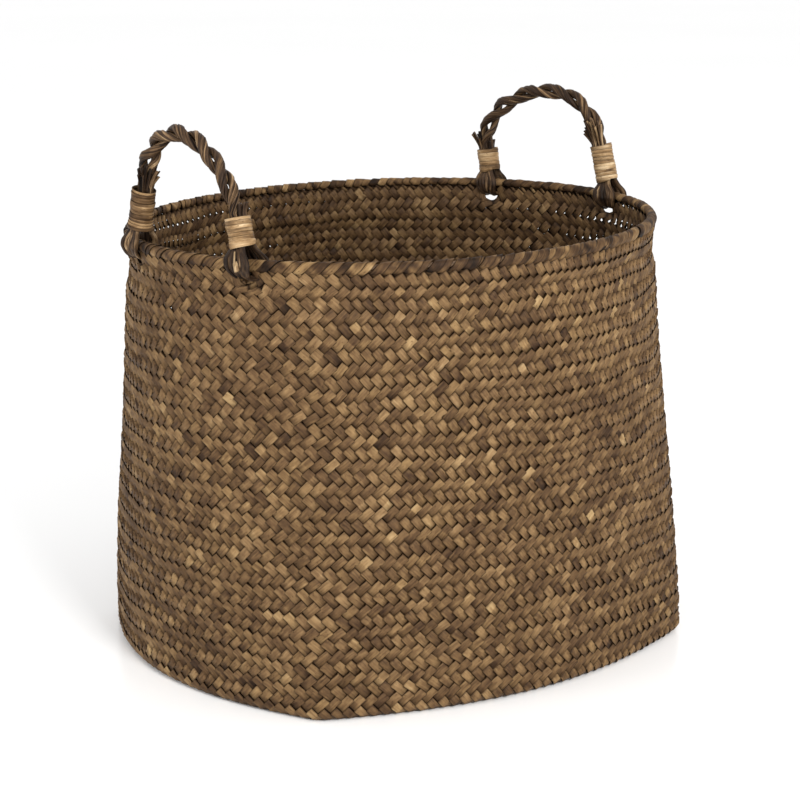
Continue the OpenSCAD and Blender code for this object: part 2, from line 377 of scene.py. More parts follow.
def s_at_angle(a):
    """Perimeter coordinate, under the hem, of direction angle a."""
    row = ANGLES[-1]
    lap = math.floor((a - row[0]) / (2 * math.pi))
    return float(np.interp(a - lap * 2 * math.pi, row,
                           np.arange(len(row)) * S_STEP))


# Middles of the holes, as (s, y).
HOLES = [(s_at_angle(math.atan2(p[1], p[0])), Y_TOP - HOLE_DROP / UNIT)
         for p in foot_points()]


def pushed(s, y, slant):
    """Strip positions pushed clear of the holes, and how squeezed they are.

    slant is +1 for strips that lean right going up, -1 for the others.
    """
    squeeze = np.ones_like(s)
    for hs, hy in HOLES:
        ds = (s - hs + AROUND / 2) % AROUND - AROUND / 2
        dy = y - hy
        d = (ds - slant * dy) * PITCH
        far = (ds + slant * dy) * PITCH
        reach = HOLE_R * np.exp(-(far / HOLE_R) ** 2)
        moved = np.where(d < 0, -1, 1) * np.sqrt(d * d + reach * reach)
        shift = (moved - d) / PITCH / 2
        s = s + shift
        y = y - slant * shift
        near = np.maximum(np.abs(d), 1e-6) / np.maximum(np.abs(moved), 1e-6)
        squeeze = np.minimum(squeeze, np.maximum(HOLE_SQUEEZE, near))
    return s, np.minimum(y, Y_TOP + TOP_PLAY / UNIT), squeeze


def over_outside(row, climbs_right):
    """+1 where a strip of the wall runs outside at a crossing row, else -1."""
    first = np.isin(np.mod(row, 4), (0, 3))
    return np.where(first == climbs_right, 1.0, -1.0)


def mat_over(a, b, rising_left):
    """The same for the base, whose pattern runs on from the nearest side."""
    gaps = np.stack([b + HALF_B, HALF_A - a, HALF_B - b, a + HALF_A])
    long_side = np.isin(gaps.argmin(0), (0, 2))
    return over_outside(-2 * gaps.min(0), long_side == rising_left)


def base_line(c, lean):
    """A strip's line across the base: first point, last point, crossings.

    The line is a - lean * b = c, and lean is +1 where a grows along it.
    """
    start = (c - lean * HALF_B, -HALF_B)
    if lean * start[0] < -HALF_A:
        side = -lean * HALF_A
        start = (side, lean * (side - c))
    steps = int(round(2 * min(HALF_A - lean * start[0], HALF_B - start[1])))
    return start, (start[0] + lean * steps / 2, start[1] + steps / 2), steps


def wall_foot(a, b, rising_left):
    """Where a strip leaves the base's edge: s, and its slant up the wall."""
    long, short = SIDE_STRIPS
    if b == -HALF_B:
        s, side = a + HALF_A, 0
    elif a == HALF_A:
        s, side = long + b + HALF_B, 1
    elif b == HALF_B:
        s, side = long + short + HALF_A - a, 2
    else:
        s, side = 2 * long + short + HALF_B - b, 3
    # on a long side the strips rising left climb the wall to the right
    return s, 1 if (side % 2 == 0) == rising_left else -1


def wall_partials(s, y, eps=0.06):
    """Change of the wall's point for one strip round and one strip up."""
    low, high = np.maximum(y - eps, 0), y + eps
    along_s = (wall_point(s + eps, y) - wall_point(s - eps, y)) / (2 * eps)
    along_y = (wall_point(s, high) - wall_point(s, low)) / (high - low)[:, None]
    return along_s, along_y


def mat_partials(a, b, eps=0.1):
    """The same for the base, along a and along b."""
    a = np.clip(a, -HALF_A + eps, HALF_A - eps)
    b = np.clip(b, -HALF_B + eps, HALF_B - eps)
    return ((mat_point(a + eps, b) - mat_point(a - eps, b)) / (2 * eps),
            (mat_point(a, b + eps) - mat_point(a, b - eps)) / (2 * eps))


class Way:
    """One strip's way down a wall, across the base and up another wall.

    A place on it is given as t, counted in crossings from its first end.
    """

    def __init__(self, c, rising_left):
        self.rising_left = rising_left
        self.lean = -1 if rising_left else 1
        self.start, finish, self.steps = base_line(c, self.lean)
        self.feet = (wall_foot(*self.start, rising_left),
                     wall_foot(*finish, rising_left))
        self.total = 2 * ROWS + self.steps

    def on_base(self, t):
        """Plait coordinates a, b on the base, or at its edge."""
        n = np.clip(t - ROWS, 0, self.steps)
        return self.start[0] + self.lean * n / 2, self.start[1] + n / 2

    def on_walls(self, t):
        """For each wall s, y and slant, at the wall's foot when off it."""
        heights = (ROWS - t) / 2, (t - ROWS - self.steps) / 2
        for (s, slant), y in zip(self.feet, heights):
            y = np.maximum(y, 0)
            yield s + slant * y, y, slant

    def pick(self, t, walls, flat):
        """The value for whichever wall t is on, or else the one for the base."""
        first, last = t < ROWS, t > ROWS + self.steps
        if walls[0].ndim > 1:
            first, last = first[:, None], last[:, None]
        return np.where(first, walls[0], np.where(last, walls[1], flat))

    def states(self):
        """+1 where the strip runs outside, else -1, for every crossing."""
        t = np.arange(self.total + 1)
        first, last = [over_outside(row, slant > 0) for row, (_, slant) in
                       zip((ROWS - t, t - ROWS - self.steps), self.feet)]
        flat = mat_over(*self.on_base(t), self.rising_left)
        return np.where(t <= ROWS, first,
                        np.where(t >= ROWS + self.steps, last, flat))

    def point(self, t):
        """Middle of the cloth, and how squeezed the strip is there."""
        walls = [pushed(*wall) for wall in self.on_walls(t)]
        points = [wall_point(s, y) for s, y, _ in walls]
        return (self.pick(t, points, mat_point(*self.on_base(t))),
                self.pick(t, [squeeze for _, _, squeeze in walls], 1.0))

    def facing(self, t):
        """Outward normal, and the cloth's area for one crossing in square mm."""
        walls = [np.cross(*wall_partials(s, y)) for s, y, _ in self.on_walls(t)]
        flat = np.cross(*mat_partials(*self.on_base(t)))
        normal = self.pick(t, [unit(wall) for wall in walls],
                           np.array([0, 0, -1.0]))
        return normal, np.linalg.norm(self.pick(t, walls, flat), axis=1) / 2


def smooth_random(count, spread, step):
    """Random values at count places that change over about step places."""
    knots = RNG.normal(0, 1, int(count / step) + 4)
    x = np.arange(count) / step + RNG.uniform(0, 1)
    i = x.astype(int)
    f = eased(x - i)
    return spread * (knots[i] * (1 - f) + knots[i + 1] * f)


def sample_places(total):
    """Places along a strip: two on each crossing and one between crossings."""
    cells = np.arange(total + 1)
    t = np.stack([cells - BEND_AT, cells + BEND_AT, cells + 0.5], 1).ravel()
    t = t[1:-1]
    t[0] = 0
    return np.minimum(t, total)


def levels(way, t, cell):
    """How far a strip stands out at t, near crossing cell, in lifts."""
    state = way.states()
    here = state[cell]
    beside = np.clip(cell + np.where(t < cell, -1, 1), 0, way.total)
    floats = here == state[beside]
    climbs = np.where(cell < ROWS, t < cell,
                      (cell > way.total - ROWS) & (t > cell))
    end = np.where(climbs, PROUD, DIP)
    between = np.abs(t - cell) > (BEND_AT + 0.5) / 2
    return np.where(between, np.where(floats, BOW * here, 0),
                    here * np.where(floats, 1, end))


def strip(skin, c, rising_left, number):
    """Builds one whole strip, from hem to hem under the base."""
    way = Way(c, rising_left)
    t = sample_places(way.total)
    cell = np.minimum(np.round(t - 1e-6).astype(int), way.total)
    mid, squeeze = way.point(t)
    before, after = np.maximum(t - 0.08, 0), np.minimum(t + 0.08, way.total)
    travel = way.point(after)[0] - way.point(before)[0]
    tangent = unit(travel)
    normal, area = way.facing(t)
    side = unit(np.cross(normal, tangent))
    up = unit(np.cross(tangent, side))
    # local pitch of the plait: a crossing's area over its length
    speed = np.linalg.norm(travel, axis=1) / np.maximum(after - before, 1e-6)
    pitch = np.clip(area / speed, 0.8 * PITCH, 1.35 * PITCH)

    def varied(spread, step):
        return smooth_random(way.total + 1, spread, step)[cell]

    wide = FILL * (1 + 0.05 * RNG.uniform(-1, 1)) * (1 + varied(0.04, 7))
    wobble = varied(0.035, 3) * pitch
    tilt = SHINGLE * (1 if rising_left else -1) + varied(0.02, 2)
    uneven = RNG.normal(0, 1, way.total + 1).clip(-1.5, 1.5)[cell]
    level = levels(way, t, cell)
    rise = level * LIFT * (1 + 0.08 * uneven)
    ride = mid + rise[:, None] * up + wobble[:, None] * side
    side = unit(side + tilt[:, None] * up)
    up = unit(np.cross(tangent, side))
    ribbon(skin, ride, side, up, pitch / 2 * wide * squeeze, STRIP_T / 2,
           run_along(mid), number * 3.7, strip_tint(way.total, cell, level))


def strip_tint(total, cell, level):
    """Tone, greyness and painted shade for every sample of a strip."""
    own = RNG.normal(0, 0.045)
    slow = smooth_random(total + 1, 0.07, 7)
    quick = RNG.normal(0, 0.034, total // 2 + 3)
    pale = RNG.random(total // 2 + 3) < 0.04
    dark = RNG.random(total // 2 + 3) < 0.03
    shift = RNG.integers(0, 2)
    pair = (np.arange(total + 1) + shift) // 2
    tone = (0.495 + own + slow + quick[pair] + 0.15 * pale[pair]
            - 0.12 * dark[pair])
    grey = 0.64 + smooth_random(total + 1, 0.30, 7) + RNG.normal(0, 0.15)
    # painted shade where the strip bends under its neighbours, at the ends of its
    # floats
    deep = np.clip(3.6 * (0.88 - np.abs(level)), 0, 1)
    return tint_rows(np.maximum(tone[cell], 0.02), grey[cell], deep)


# ---- materials ----

def linear(v):
    """Linear light of an 8-bit screen value."""
    v = v / 255
    return v / 12.92 if v <= 0.04045 else ((v + 0.055) / 1.055) ** 2.4


class Graph:
    """Short ways to add nodes to one material."""

    def __init__(self, name):
        self.material = bpy.data.materials.new(name)
        self.material.use_nodes = True
        self.nodes = self.material.node_tree.nodes
        self.links = self.material.node_tree.links
        self.shader = self.nodes["Principled BSDF"]

    def plug(self, value, socket):
        if isinstance(value, (int, float)):
            socket.default_value = value
        else:
            self.links.new(value, socket)

    def math(self, kind, a, b=0.0, c=None):
        node = self.nodes.new("ShaderNodeMath")
        node.operation = kind
        for value, socket in zip((a, b, c), node.inputs):
            if value is not None:
                self.plug(value, socket)
        return node.outputs[0]

    def attribute(self, name):
        node = self.nodes.new("ShaderNodeAttribute")
        node.attribute_name = name
        split = self.nodes.new("ShaderNodeSeparateXYZ")
        self.links.new(node.outputs["Vector"], split.inputs[0])
        return split.outputs

    def place(self, scale):
        """The object's own coordinates, stretched by scale."""
        where = self.nodes.new("ShaderNodeTexCoord")
        node = self.nodes.new("ShaderNodeVectorMath")
        node.operation = "MULTIPLY"
        node.inputs[1].default_value = scale
        self.links.new(where.outputs["Object"], node.inputs[0])
        return node.outputs[0]

    def ramp(self, value, stops):
        """Colour at value on a ramp of (place, screen colour) stops."""
        node = self.nodes.new("ShaderNodeValToRGB")
        elements = node.color_ramp.elements
        while len(elements) < len(stops):
            elements.new(0.5)
        for element, (place, rgb) in zip(elements, stops):
            element.position = place
            element.color = [linear(v) for v in rgb] + [1]
        self.links.new(value, node.inputs[0])
        return node.outputs[0]

    def vector(self, x, y, z):
        node = self.nodes.new("ShaderNodeCombineXYZ")
        for value, socket in zip((x, y, z), node.inputs):
            self.plug(value, socket)
        return node.outputs[0]

    def noise(self, vector, detail=2.0, rough=0.5):
        node = self.nodes.new("ShaderNodeTexNoise")
        node.inputs["Scale"].default_value = 1
        node.inputs["Detail"].default_value = detail
        node.inputs["Roughness"].default_value = rough
        self.links.new(vector, node.inputs["Vector"])
        return node.outputs["Fac"]

    def mix(self, kind, factor, a, b):
        node = self.nodes.new("ShaderNodeMix")
        node.data_type = "RGBA"
        node.blend_type = kind
        self.plug(factor, node.inputs["Factor"])
        for value, socket in ((a, node.inputs["A"]), (b, node.inputs["B"])):
            if isinstance(value, tuple):
                socket.default_value = [linear(v) for v in value] + [1]
            else:
                self.links.new(value, socket)
        return node.outputs["Result"]

    def range(self, value, low, high, to_low, to_high):
        node = self.nodes.new("ShaderNodeMapRange")
        for given, socket in zip((value, low, high, to_low, to_high),
                                 node.inputs):
            self.plug(given, socket)
        return node.outputs[0]


SPECK = (125, 100, 80)       # colour that darkens the specks
SHADE = (60, 44, 34)         # and lays painted shade in the edges and hollows of a strip, and random mottle on a binding


def dried_stem(name, stops, grey, rough, fibre=0.5, blot=0.5, grain=0.85):
    """Dried sedge, with fibres, blotches and specks.

    stops are its colours from dark to pale tone, grey is what the greyest
    stems are multiplied by, and grain is the fibres' noise per mm across.
    """
    g = Graph(name)
    along, across, seed = g.attribute("grain")
    tone, greyness, painted_shade_and_mottle = g.attribute("tint")
    number = g.math("MULTIPLY", seed, 5.3)

    def streaks(per_along, per_across, detail, harsh=0.5):
        place = g.vector(g.math("MULTIPLY", along, per_along),
                         g.math("MULTIPLY", across, per_across), number)
        return g.noise(place, detail, harsh)

    fibres = streaks(0.06, grain, 4, 0.65)
    veins = streaks(0.05, grain * 3, 2)
    blotch = streaks(0.15, 0.3, 3)
    specks = g.range(streaks(0.5, 0.9, 1), 0.66, 0.74, 0, 1)
    value = tone
    for layer, strength in ((fibres, fibre), (veins, 0.3), (blotch, blot)):
        value = g.math("MULTIPLY_ADD", g.math("SUBTRACT", layer, 0.5),
                       strength, value)
    coloured = g.ramp(value, stops)
    body = g.mix("MIX", g.math("MULTIPLY", greyness, 0.6), coloured,
                 g.mix("MULTIPLY", 1.0, coloured, grey))
    # specks darken the colour, then SHADE lays the painted shade (random mottle on
    # the bindings)
    for cover, strength, colour in ((specks, 0.55, SPECK), (painted_shade_and_mottle, 0.95, SHADE)):
        body = g.mix("MULTIPLY", g.math("MULTIPLY", cover, strength), body,
                     colour)
    g.links.new(body, g.shader.inputs["Base Color"])
    gloss = g.range(fibres, 0.25, 0.75, rough - 0.1, rough + 0.12)
    g.links.new(gloss, g.shader.inputs["Roughness"])
    g.shader.inputs["Specular IOR Level"].default_value = 0.12
    relief = g.math("MULTIPLY_ADD", specks, -0.25, fibres)
    relief = g.math("MULTIPLY_ADD", veins, 0.35, relief)
    bump = g.nodes.new("ShaderNodeBump")
    bump.inputs["Strength"].default_value = 0.6
    bump.inputs["Distance"].default_value = 0.0004
    g.links.new(relief, bump.inputs["Height"])
    g.links.new(bump.outputs[0], g.shader.inputs["Normal"])
    return g.material


SEDGE = dried_stem(
    "seagrass_strip",
    [(0.0, (30, 20, 12)), (0.28, (66, 47, 30)), (0.5, (105, 80, 52)),
     (0.72, (144, 115, 77)), (1.0, (190, 161, 115))], (234, 231, 242), 0.6)
ROPE = dried_stem(
    "seagrass_stem",
    [(0.0, (26, 18, 12)), (0.3, (56, 41, 29)), (0.55, (88, 67, 46)),
     (0.78, (138, 110, 78)), (1.0, (190, 162, 122))], (236, 235, 246), 0.46,
    fibre=1.0, grain=1.3)
BIND = dried_stem(
    "binding_strip",
    [(0.0, (62, 44, 28)), (0.3, (108, 82, 54)), (0.55, (160, 129, 91)),
     (0.8, (203, 174, 134)), (1.0, (228, 206, 170))], (240, 238, 245), 0.48,
    fibre=0.75, blot=0.6)


def hoop_material():
    """Split cane of the hidden hoop."""
    g = Graph("rim_hoop_cane")
    grain = g.noise(g.place((60, 60, 900)), 3)
    colour = g.ramp(grain, [(0.3, (70, 52, 36)), (0.7, (118, 90, 62))])
    g.links.new(colour, g.shader.inputs["Base Color"])
    g.links.new(g.range(grain, 0.3, 0.7, 0.5, 0.7), g.shader.inputs["Roughness"])
    return g.material


# ---- body of the basket ----

def build_strips():
    """All the strips of the plait, gathered in pieces of neighbours."""
    each_way = sum(SIDE_STRIPS)
    lines = [(i + 0.5 - each_way / 2, left) for left in (True, False)
             for i in range(each_way)]
    each = math.ceil(len(lines) / GROUPS)
    for group in range(GROUPS):
        skin = Skin()
        for number in range(group * each, min(len(lines), (group + 1) * each)):
            strip(skin, *lines[number], number)
        if skin.count:
            skin.piece(f"plait_{group:02d}", SEDGE, "basket",
                       ("wall", "base_mat"), "plaited_seagrass")


BAND_SLOPE = math.radians(42)       # of a band across the hem
BAND_HALF = 0.66                    # a band's half width, in strips of the rim
BAND_ROLL = 0.40                    # mm its one edge lies over its neighbour
BAND_HALF_T = 0.2
BAND_STEPS = 26


def hem_profile():
    """A folded strip end seen along the rim, as (out, up from the hinge).

    It starts tucked in under the hem inside, goes over the hoop and runs
    down the outside, where it goes under the wall's strips.
    """
    tucked_in, over, step = 140, -101, -12
    turn = np.radians(np.arange(tucked_in, over, step))
    fold = np.stack([-np.sin(turn), np.cos(turn)], -1) * (HEM_R - 0.1)
    tail = np.array([(2.9, -2.0), (2.3, -3.2), (1.4, -4.3), (0.2, -5.2)])
    return np.concatenate([fold, tail])


PROFILE = hem_profile()
PROFILE_RUN = run_along(PROFILE)


def profile_at(run):
    """Point (out, up) run mm down the hem's profile."""
    return np.stack([np.interp(run, PROFILE_RUN, values)
                     for values in PROFILE.T], -1)


def hem_point(s, run, off):
    """Point run mm down the hem's profile at s, stood off by off mm."""
    way = unit(profile_at(run + 0.5) - profile_at(run - 0.5))
    place = profile_at(run)
    out, up = place[..., 0] - way[..., 1] * off, place[..., 1] + way[..., 0] * off
    mid = oval_point(angle_at(s, np.full_like(s, HEM_LOW)))
    normal = unit(mid / RIM_HALF ** 2)
    return np.concatenate([mid + out[..., None] * normal,
                           (HINGE_Z + up)[..., None]], -1)


def hem_band(skin, number):
    """One strip end folded over the hoop, overlapping its neighbour."""
    t = np.linspace(0.02, 1, BAND_STEPS)
    run = t * (PROFILE_RUN[-1] + RNG.normal(0, 0.7))
    slope = BAND_SLOPE + RNG.normal(0, 0.05)
    s = number + 0.16 * RNG.normal() - run * math.tan(slope) / UNIT
    half_w = BAND_HALF * UNIT * math.cos(slope) * (1 + 0.10 * RNG.normal()) * (
        1 + smooth_random(BAND_STEPS, 0.04, 8))[:, None]
    w = STRIP_SECTION[:, 0] * half_w
    base = -0.1 + 0.14 * RNG.normal()
    off = (base + BAND_ROLL * STRIP_SECTION[:, 0]
           + BAND_HALF_T * STRIP_SECTION[:, 1]
           + smooth_random(BAND_STEPS, 0.08, 5)[:, None])
    ss = s[:, None] + w * math.cos(slope) / UNIT
    runs = np.clip(run[:, None] + w * math.sin(slope), 0, PROFILE_RUN[-1])
    rings = hem_point(ss, runs, off)
    along = run / math.cos(slope)
    grain = np.stack([np.broadcast_to(along[:, None], ss.shape), w,
                      np.full(ss.shape, number * 2.3 + 700)], -1)
    tone = 0.37 + RNG.normal(0, 0.12) + smooth_random(BAND_STEPS, 0.12, 4)
    grey = 0.3 + RNG.normal(0, 0.2)
    # painted shade: darker inside the basket and where the tail goes under
    deep = np.clip(0.5 - 4 * t, 0, 0.5) + np.clip((t - 0.8) * 3, 0, 0.6)
    tint = tint_rows(tone, grey, deep)
    skin.loft(rings[:, ::-1], grain[:, ::-1], edged(tint)[:, ::-1])


def build_hem():
    """The rolled rim: every strip end of one lean, side by side."""
    skin = Skin()
    for number in range(AROUND):
        hem_band(skin, number)
    skin.piece("hem_folds", SEDGE, "basket", ("rim_hem",), "folded_rim")


# ---- handles ----

# Legs, as side along the hinge axis, gap between the feet, lean towards the
# other leg in degrees, how far the arch is drawn on past the leg, and the
# binding's two ends from the hinge axis. A leg at the front of the right
# handle is on the hinge's negative side.
LEGS = {("left", "front"): (1, 111, 16, 46, 10.8, 31),
        ("left", "rear"): (-1, 111, 11, 67, 11, 38.5),
        ("right", "front"): (-1, 113, 14, 66, 11, 40),
        ("right", "rear"): (1, 113, -10, 43, 9.2, 28.5)}
STRAND_OFF = 3.1             # rope's centreline to a strand's
STRAND_DEEP = 2.0            # ring of stems in a strand: half depth
STRAND_WIDE = 3.1            # and half width
STRAND_START = 24.3          # a strand's end inside its binding
TWISTS = 3                   # whole turns along the arch
SQUEEZE = 0.8                # how thin the rope is inside a binding
STEMS = 15                   # in a strand, with one as its core
LOOP_STEMS = 12
BIND_R = 8.4                 # outer radius of a binding
BIND_HALF_T = 0.36           # half the thickness of its strip


class Leg:
    """One bound end of a rope, in its handle's own plane."""

    def __init__(self, side, gap, lean, pull, low, high):
        self.side, self.gap, self.pull = side, gap, pull
        self.low, self.high = low, high
        self.sin = math.sin(math.radians(lean))
        self.cos = math.cos(math.radians(lean))
        self.top = high + 2.0      # where the arch begins

    def point(self, along, out=0.0, v=0.0):
        """Local point along mm up the leg and out mm away from the other."""
        along, out, v = np.broadcast_arrays(
            *[np.asarray(x, float) for x in (along, out, v)])
        u = self.side * (self.gap / 2 - along * self.sin + out * self.cos)
        return np.stack([u, v, along * self.cos + out * self.sin], -1)


class Place:
    """A handle's own frame: u along its hinge, v inwards and w up."""

    def __init__(self, hand):
        names = {j["name"]: j for j in frame["record"]["behaviour"]["joints"]}
        joint = names[hand + "_handle_swing"]
        self.hand = hand
        self.legs = {end: Leg(*LEGS[hand, end]) for end in ("front", "rear")}
        self.origin = np.array(joint["pos_m"]) / MM
        self.u = unit(np.array(joint["axis"], float))
        self.w = np.array([0.0, 0, 1])
        self.v = np.cross(self.w, self.u)

    def aim(self, local):
        """Basket direction of local (u, v, w) directions."""
        local = np.asarray(local, float)
        return (local[..., :1] * self.u + local[..., 1:2] * self.v
                + local[..., 2:3] * self.w)

    def put(self, local):
        """Basket point of local (u, v, w) points."""
        return self.origin + self.aim(local)

    def piece(self, skin, part, what, material, slot):
        """Makes skin the piece that stands for one CAD part of the handle."""
        name = f"{self.hand}_{part}"
        skin.piece(f"{name}_{what}", material, f"{self.hand}_handle", (name,),
                   slot)


def arch_line(place, bend_steps=110, leg_steps=14):
    """Rope centreline from the +u leg to the -u leg, and its bound ends."""
    first, last = sorted(place.legs.values(), key=lambda leg: -leg.side)
    t = np.linspace(0, 1, bend_steps)[:, None]
    arch = ((1 - t) ** 3 * first.point(first.top)
            + 3 * (1 - t) ** 2 * t * first.point(first.top + first.pull)
            + 3 * (1 - t) * t * t * last.point(last.top + last.pull)
            + t ** 3 * last.point(last.top))
    bound = [leg.top - STRAND_START for leg in (first, last)]
    feet = [leg.point(np.linspace(STRAND_START, leg.top, leg_steps)[:-1])
            for leg in (first, last)]
    return np.concatenate([feet[0], arch, feet[1][::-1]]), bound


def stem(skin, path, radius, tone, grey, seed, flat, up_hint, wander, sides=8):
    """A flattened stem along a path of points in basket space.

    Its height is flat times its width, and it lies flat across up_hint,
    give or take wander radians.
    """
    tangent = unit(np.gradient(path, axis=0))
    side = unit(np.cross(tangent, np.broadcast_to(up_hint, path.shape)))
    up = np.cross(side, tangent)
    n = len(path)
    angle = 2 * np.pi * np.arange(sides) / sides
    ridge = 1 + 0.10 * RNG.normal(0, 1, sides)
    turn = smooth_random(n, wander, 24)[:, None]
    radius = (radius * (1 + smooth_random(n, 0.05, 6)))[:, None]
    ca, sa = np.cos(angle) * ridge, np.sin(angle) * ridge * flat
    x = (ca * np.cos(turn) - sa * np.sin(turn)) * radius
    y = (ca * np.sin(turn) + sa * np.cos(turn)) * radius
    grain = np.stack([np.broadcast_to(run_along(path)[:, None], x.shape),
                      np.broadcast_to(2 * np.cos(angle), x.shape),
                      np.full(x.shape, seed)], -1)
    tint = tint_rows(tone + smooth_random(n, 0.10, 10), grey, 0.0)
    tint = np.repeat(tint[:, None], sides, axis=1)
    # painted shade along the stem's two edges, where it lies against its neighbours
    tint[..., 2] += 0.75 * np.abs(np.cos(angle)) ** 3
    skin.loft(swept(path, x, side, y, up), grain, tint)


# Where the two strands stand apart, as (share of the rope, extra mm).
OPENINGS = {"left": ((0.82, 1.6),), "right": ((0.09, 1.0), (0.25, 1.0))}


def build_strand(place, letter, phase):
    """One strand of the rope: stems that run side by side round its core."""
    line, bound = arch_line(place)
    run = run_along(line)
    twisted = run[-1] - sum(bound)
    s = run - bound[0]
    share = np.clip(s / twisted, 0, 1)
    full = SQUEEZE + (1 - SQUEEZE) * np.clip(
        np.minimum(s, twisted - s) / 12 + 0.1, 0, 1)
    a = phase - 2 * np.pi * TWISTS * share + smooth_random(len(s), 0.12, 26)
    d = unit(np.gradient(line, axis=0))
    normal = np.stack([-d[:, 2], np.zeros(len(d)), d[:, 0]], -1)
    inward = np.array([0.0, 1, 0])
    outer = np.cos(a)[:, None] * normal + np.sin(a)[:, None] * inward
    across = -np.sin(a)[:, None] * normal + np.cos(a)[:, None] * inward
    apart = sum(extra * np.exp(-((share - at) * twisted / 7) ** 2)
                for at, extra in OPENINGS[place.hand])
    centre = line + (STRAND_OFF * full + apart)[:, None] * outer
    skin = Skin()
    for k in range(STEMS):
        core = k == 0
        ring = 0 if core else 1
        thick = 2.2 if core else RNG.uniform(0.85, 1.4)
        b = (2 * np.pi * k / (STEMS - 1) + RNG.normal(0, 0.12)
             + 0.3 * (a - phase) + smooth_random(len(s), 0.16, 20))
        r = (full * ring * (1 + smooth_random(len(s), 0.07, 16)))[:, None]
        rise = (STRAND_DEEP * np.cos(b)[:, None] * outer
                + STRAND_WIDE * np.sin(b)[:, None] * across)
        pale = 0.22 if RNG.random() < 0.2 else 0
        stem(skin, place.put(centre + r * rise), thick * full,
             0.39 + RNG.normal(0, 0.13) + pale, 0.5 + RNG.normal(0, 0.25),
             seed=RNG.uniform(0, 900), flat=0.85 if core else 0.58,
             up_hint=place.aim(rise + 0.01 * outer), wander=0.25)
    place.piece(skin, f"strand_{letter}", "stems", ROPE, "rope")


def loop_path(leg, beside, radius, sway):
    """A stem's way from one side of the binding round the hem to the other."""
    # inner side of the shank, from (v, w) in the binding down to the hem
    shank = [(3.4, 24), (3.9, 19), (4.5, 13), (5.8, 8.2), (7.1, 3.6), (7.5, 0)]
    wide, deep = 7.5, 7.9
    quarter = np.radians(np.arange(15, 91, 15))
    low = [(wide * math.cos(f), -deep * math.sin(f)) for f in quarter]
    half = np.array(shank + low)
    y = np.concatenate([half[:, 0], -half[-2::-1, 0]])
    w = np.concatenate([half[:, 1], half[-2::-1, 1]])
    grow = 1 + (radius / deep - 1) * np.clip((12 - w) / 12, 0, 1)
    y = y * grow
    w = np.where(w < 4, w * grow, w)
    # fanned out on the hem, gathered where they enter the binding and the hole
    above = eased(np.clip((w - 2) / 9, 0, 1))
    below = np.clip(-w / 8, 0, 1) ** 1.5
    across = (beside * (1 - 0.5 * above - 0.36 * below)
              + sway * np.sin(np.linspace(0, np.pi, len(w))))
    up = np.maximum(w, 0)
    u = leg.side * (leg.gap / 2 - up * leg.sin) + across
    return smooth_path(np.stack([u, y, np.where(w > 0, w * leg.cos, w)], -1), 3)


def smooth_path(points, times):
    """Doubles the points of a path, times over, along smooth curves."""
    for _ in range(times):
        padded = np.concatenate([2 * points[:1] - points[1:2], points,
                                 2 * points[-1:] - points[-2:-1]])
        middle = (-padded[:-3] + 9 * padded[1:-2] + 9 * padded[2:-1]
                  - padded[3:]) / 16
        out = np.empty((2 * len(points) - 1, 3))
        out[0::2], out[1::2] = points, middle
        points = out
    return points


# Half the width that a loop's stems fan out to on the hem, in mm.
FAN = {("left", "front"): 11.0, ("left", "rear"): 7.2,
       ("right", "front"): 8.4, ("right", "rear"): 8.2}


def build_loop(place, end):
    """The rope's stems going round the hem through the wall's hole."""
    leg = place.legs[end]
    skin, fan = Skin(), FAN[place.hand, end]
    foot = np.array([leg.side * leg.gap / 2, 0, 0])
    for k in range(LOOP_STEMS):
        share = 2 * k / (LOOP_STEMS - 1) - 1
        # parted in the middle, so that a little of the hem shows between
        u = fan * math.copysign(abs(share) ** 0.8, share) + RNG.normal(0, 0.3)
        radius = 8.1 + (0.5 if k % 2 else -0.3) + 0.9 * share * share
        path = loop_path(leg, u, radius, RNG.normal(0, 0.4))
        away = (path - foot) * [0.25, 1, 1]
        away[:, 2] = np.minimum(away[:, 2], 1.0)
        pale = 0.25 if RNG.random() < 0.28 else 0
        stem(skin, place.put(path), RNG.uniform(1.3, 2.1),
             0.33 + RNG.normal(0, 0.1) + pale, 0.4 + RNG.normal(0, 0.2),
             seed=RNG.uniform(0, 900), flat=0.6, up_hint=place.aim(away),
             wander=0.3)
    if (place.hand, end) == ("left", "front"):
        loop_stub(skin, place, leg)
    place.piece(skin, f"{end}_loop", "stems", ROPE, "rope")


def loop_stub(skin, place, leg):
    """The pale cut ends of two stems, tucked in between those of a loop."""
    for high, length, u, thick in ((2.0, 5.6, 1.0, 2.3), (9.0, 9.0, -0.6, 0.8)):
        t = np.linspace(0, 1, 10)
        path = leg.point(high - length * t, leg.side * u * (2 * t - 1),
                         -8.0 - 1.8 * t - 0.02 * high)
        stem(skin, place.put(path), thick * (1 + 0.15 * t), 0.9, 0.25,
             seed=411.0 + high, flat=0.5, up_hint=place.v, wander=0.25)


# Each binding's tone, how far its lower end flares, and its pitch, in mm.
BINDINGS = {("left", "front"): (0.57, 1.0, 2.6),
            ("left", "rear"): (0.22, 1.0, 2.0),
            ("right", "front"): (0.57, 0.4, 2.7),
            ("right", "rear"): (0.46, 0.3, 3.4)}


